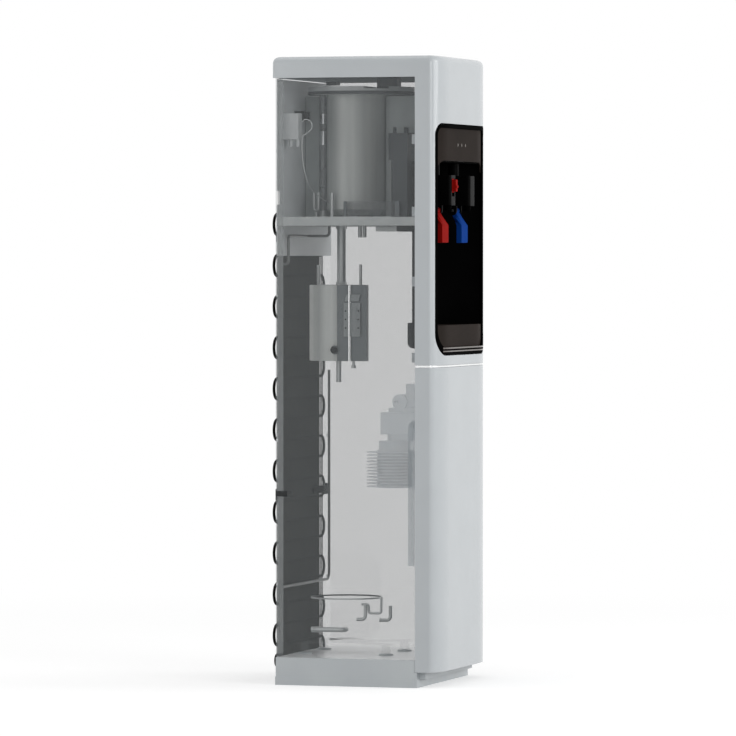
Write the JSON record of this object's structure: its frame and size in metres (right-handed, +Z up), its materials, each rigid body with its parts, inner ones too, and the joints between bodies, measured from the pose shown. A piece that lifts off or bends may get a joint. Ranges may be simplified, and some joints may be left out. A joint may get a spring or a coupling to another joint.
{
  "type": "bottleless water cooler",
  "caption": "Tall floor-standing water cooler with see-through side panels, a dispensing alcove with lever taps and a drip tray, inner tanks, a filter, a compressor and a rear condenser.",
  "frame": {"origin": "centre of the bounding box's bottom face, on the floor", "axes": "+Z up, -Y towards the front with the taps, +X to the right hand of someone who looks along +Y at the front, so the hot tap is at -X"},
  "size_m": [0.3, 0.2981, 1.04],
  "materials": {
    "painted_steel": "satin light grey powder coat",
    "smoked_panel": "see-through smoked grey sheet",
    "front_plastic": "glossy silver grey moulding",
    "trim_plastic": "glossy white",
    "galvanised_steel": "dull zinc grey sheet",
    "bright_steel": "bright zinc plated",
    "black_plastic": "glossy black",
    "smoked_fascia": "glossy dark bronze",
    "lens_plastic": "frosted lens",
    "board": "green solder mask",
    "red_plastic": "glossy red",
    "blue_plastic": "glossy blue",
    "green_plastic": "glossy green",
    "dark_plastic": "matt dark grey",
    "grey_plastic": "matt light grey",
    "white_plastic": "matt white",
    "filter_plastic": "glossy pale grey",
    "stainless_steel": "drawn stainless steel",
    "tube_steel": "plain drawn tube",
    "dark_steel": "dark grey sheet",
    "foam": "rigid grey foam",
    "clear_tube": "clear tube",
    "copper": "bright copper tube",
    "compressor_paint": "pale gloss enamel, drawn see-through",
    "rubber_feet": "matt rubber",
    "black_paint": "satin black enamel"
  },
  "bodies": {
    "cabinet": {"base_tray": "painted_steel", "left_side_panel": "smoked_panel", "right_side_panel": "smoked_panel", "rear_panel": "painted_steel", "upper_shell": "front_plastic", "lower_front_panel": "front_plastic", "seam_strip": "trim_plastic", "shelf": "galvanised_steel", "cabinet_screws": "bright_steel", "alcove_bezel": "black_plastic", "alcove_liner": "black_plastic", "control_fascia": "smoked_fascia", "indicator_lenses": "lens_plastic", "control_board": "board", "hot_tap_housing": "black_plastic", "cold_tap_housing": "black_plastic", "tap_nozzles": "black_plastic", "paddle_pins": "bright_steel", "valve_housing": "dark_plastic", "cold_tank": "stainless_steel", "cold_tank_lid": "grey_plastic", "inlet_fittings": "dark_plastic", "insulation_half": "foam", "tank_cradle": "dark_steel", "vent_tube": "clear_tube", "cold_tank_tubes": "tube_steel", "thermostat_box": "grey_plastic", "capillary_tube": "tube_steel", "evaporator_coil": "copper", "hot_tank": "stainless_steel", "hot_tank_plate": "dark_steel", "hot_thermostats": "grey_plastic", "hot_feed_pipe": "tube_steel", "hot_tank_tubes": "tube_steel", "heating_element": "stainless_steel", "compressor_shell": "compressor_paint", "compressor_cap": "compressor_paint", "compressor_ring": "tube_steel", "compressor_tubes": "tube_steel", "compressor_feet": "rubber_feet", "condenser_coil": "black_paint", "condenser_wires": "black_paint", "condenser_clips": "black_plastic", "refrigerant_line": "tube_steel", "filter_head": "filter_plastic", "filter_tube": "filter_plastic", "water_inlet": "white_plastic", "switch_frame": "black_plastic", "power_inlet": "black_plastic"},
    "hot_paddle": {"hot_paddle": "red_plastic"},
    "cold_paddle": {"cold_paddle": "blue_plastic"},
    "safety_lock": {"safety_lock": "red_plastic"},
    "drip_tray": {"drip_tray": "smoked_fascia"},
    "drip_grille": {"drip_grille": "smoked_fascia"},
    "float": {"float_arm": "bright_steel", "float_ball": "white_plastic"},
    "reset_button": {"reset_button": "black_plastic"},
    "filter_cartridge": {"filter_cartridge": "filter_plastic"},
    "hot_switch": {"hot_switch": "red_plastic"},
    "cold_switch": {"cold_switch": "green_plastic"}
  },
  "joints": [
    {"name": "hot_paddle_hinge", "type": "hinge", "parent": "cabinet", "child": "hot_paddle", "pos_m": [-0.0565, -0.11058, 0.7865], "axis": [1, 0, 0], "range_deg": [0, 12], "stiffness_Nm_per_rad": 0.8, "springref_deg": -6.88},
    {"name": "cold_paddle_hinge", "type": "hinge", "parent": "cabinet", "child": "cold_paddle", "pos_m": [0.0565, -0.11058, 0.7865], "axis": [1, 0, 0], "range_deg": [0, 12], "stiffness_Nm_per_rad": 0.8, "springref_deg": -6.88},
    {"name": "safety_lock_slide", "type": "slide", "parent": "cabinet", "child": "safety_lock", "axis": [0, 0, -1], "range_m": [0, 0.006], "stiffness_N_per_m": 250, "springref_m": -0.004},
    {"name": "drip_tray_slide", "type": "slide", "parent": "cabinet", "child": "drip_tray", "axis": [0, -1, 0], "range_m": [0, 0.09]},
    {"name": "drip_grille_lift", "type": "slide", "parent": "drip_tray", "child": "drip_grille", "axis": [0, 0, 1], "range_m": [0, 0.04]},
    {"name": "float_hinge", "type": "hinge", "parent": "cabinet", "child": "float", "pos_m": [0, 0.00232, 0.9495], "axis": [1, 0, 0], "range_deg": [0, 22]},
    {"name": "reset_button_slide", "type": "slide", "parent": "cabinet", "child": "reset_button", "axis": [1, 0, 0], "range_m": [0, 0.0015], "stiffness_N_per_m": 600, "springref_m": -0.001},
    {"name": "filter_twist", "type": "hinge", "parent": "cabinet", "child": "filter_cartridge", "pos_m": [0, -0.02258, 0.36], "axis": [0, 0, 1], "range_deg": [0, 60]},
    {"name": "hot_switch_rock", "type": "hinge", "parent": "cabinet", "child": "hot_switch", "pos_m": [-0.045, 0.13423, 0.945], "axis": [-1, 0, 0], "range_deg": [0, 14]},
    {"name": "cold_switch_rock", "type": "hinge", "parent": "cabinet", "child": "cold_switch", "pos_m": [-0.015, 0.13423, 0.945], "axis": [-1, 0, 0], "range_deg": [0, 14]}
  ]
}
